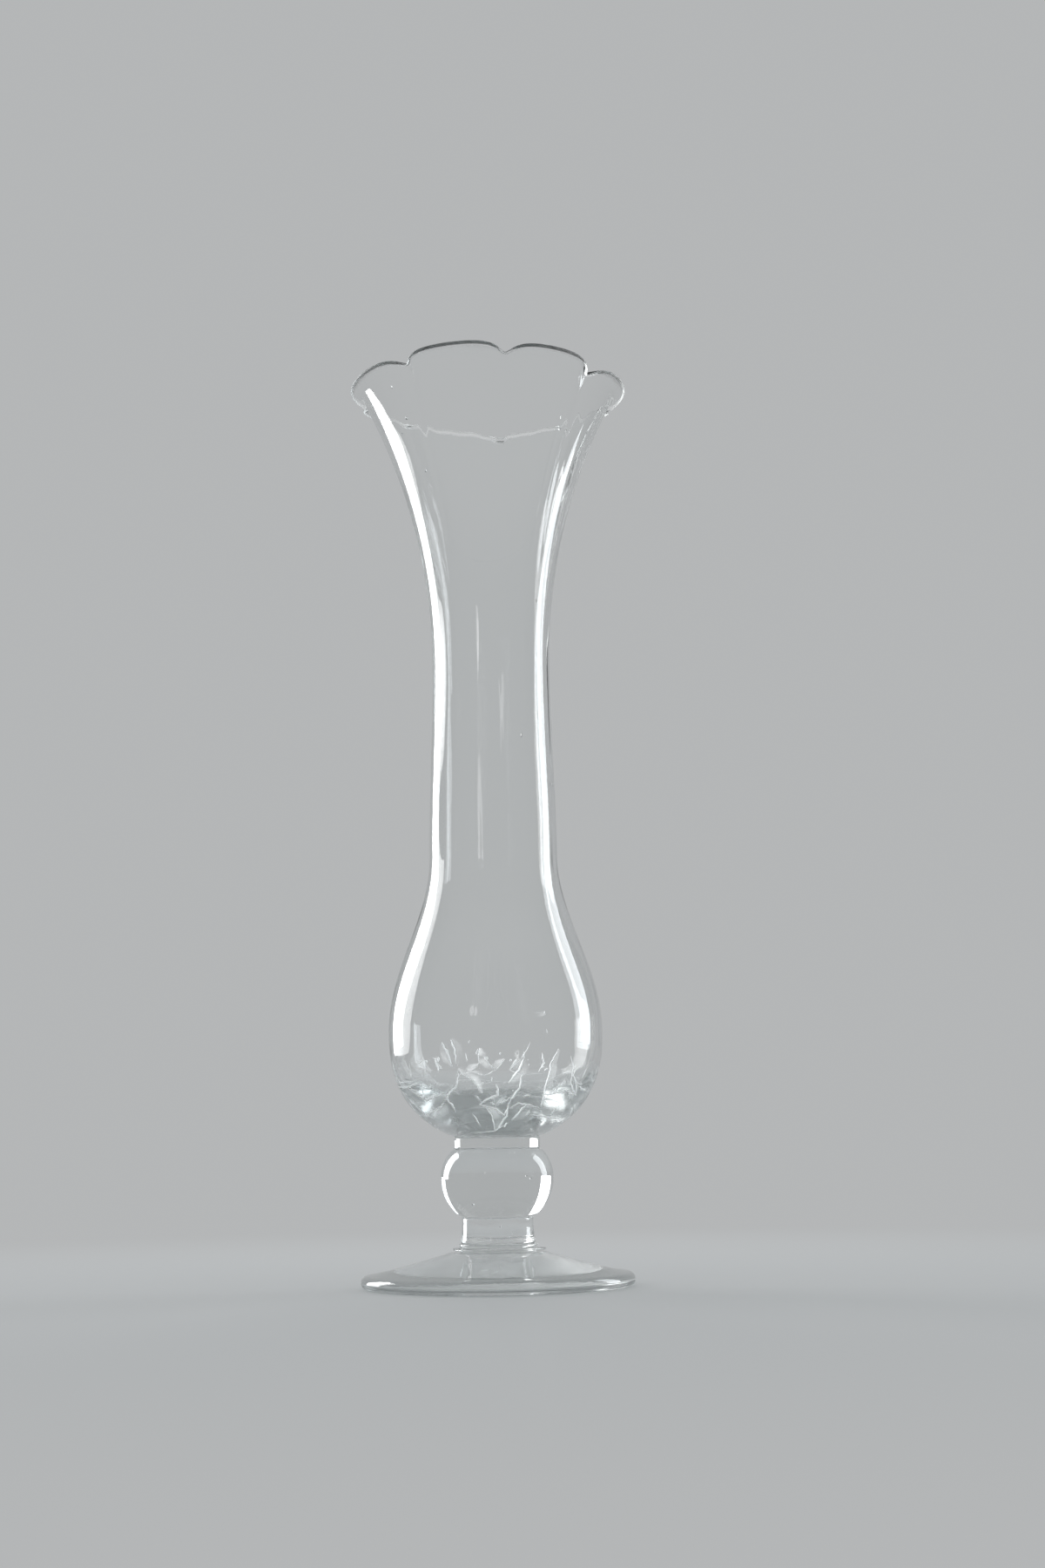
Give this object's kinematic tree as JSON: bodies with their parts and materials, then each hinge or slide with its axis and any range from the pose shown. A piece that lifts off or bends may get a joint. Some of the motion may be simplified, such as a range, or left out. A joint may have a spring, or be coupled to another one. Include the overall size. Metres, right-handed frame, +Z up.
{
  "type": "bud vase",
  "caption": "Slender footed bud vase in clear glass: cone foot, ball knop, round bulb, narrow neck and a flared, crimped lip.",
  "frame": {"origin": "on the table, under the middle of the foot", "axes": "+Z up along the vase's axis; -Y is the front, the side that the picture shows; +X is to its right"},
  "size_m": [0.0622, 0.0615, 0.2008],
  "materials": {
    "foot_glass": "clear pressed and fire-polished glass, solid",
    "stem_glass": "clear hot-worked glass, solid, with a few seeds",
    "vessel_glass": "clear blown glass, fire-polished, crackled in the lower bulb"
  },
  "bodies": {
    "root": {"foot": "foot_glass", "foot_wafer": "stem_glass", "stem_collar": "stem_glass", "knop": "stem_glass", "upper_collar": "stem_glass", "vessel": "vessel_glass"}
  },
  "joints": []
}
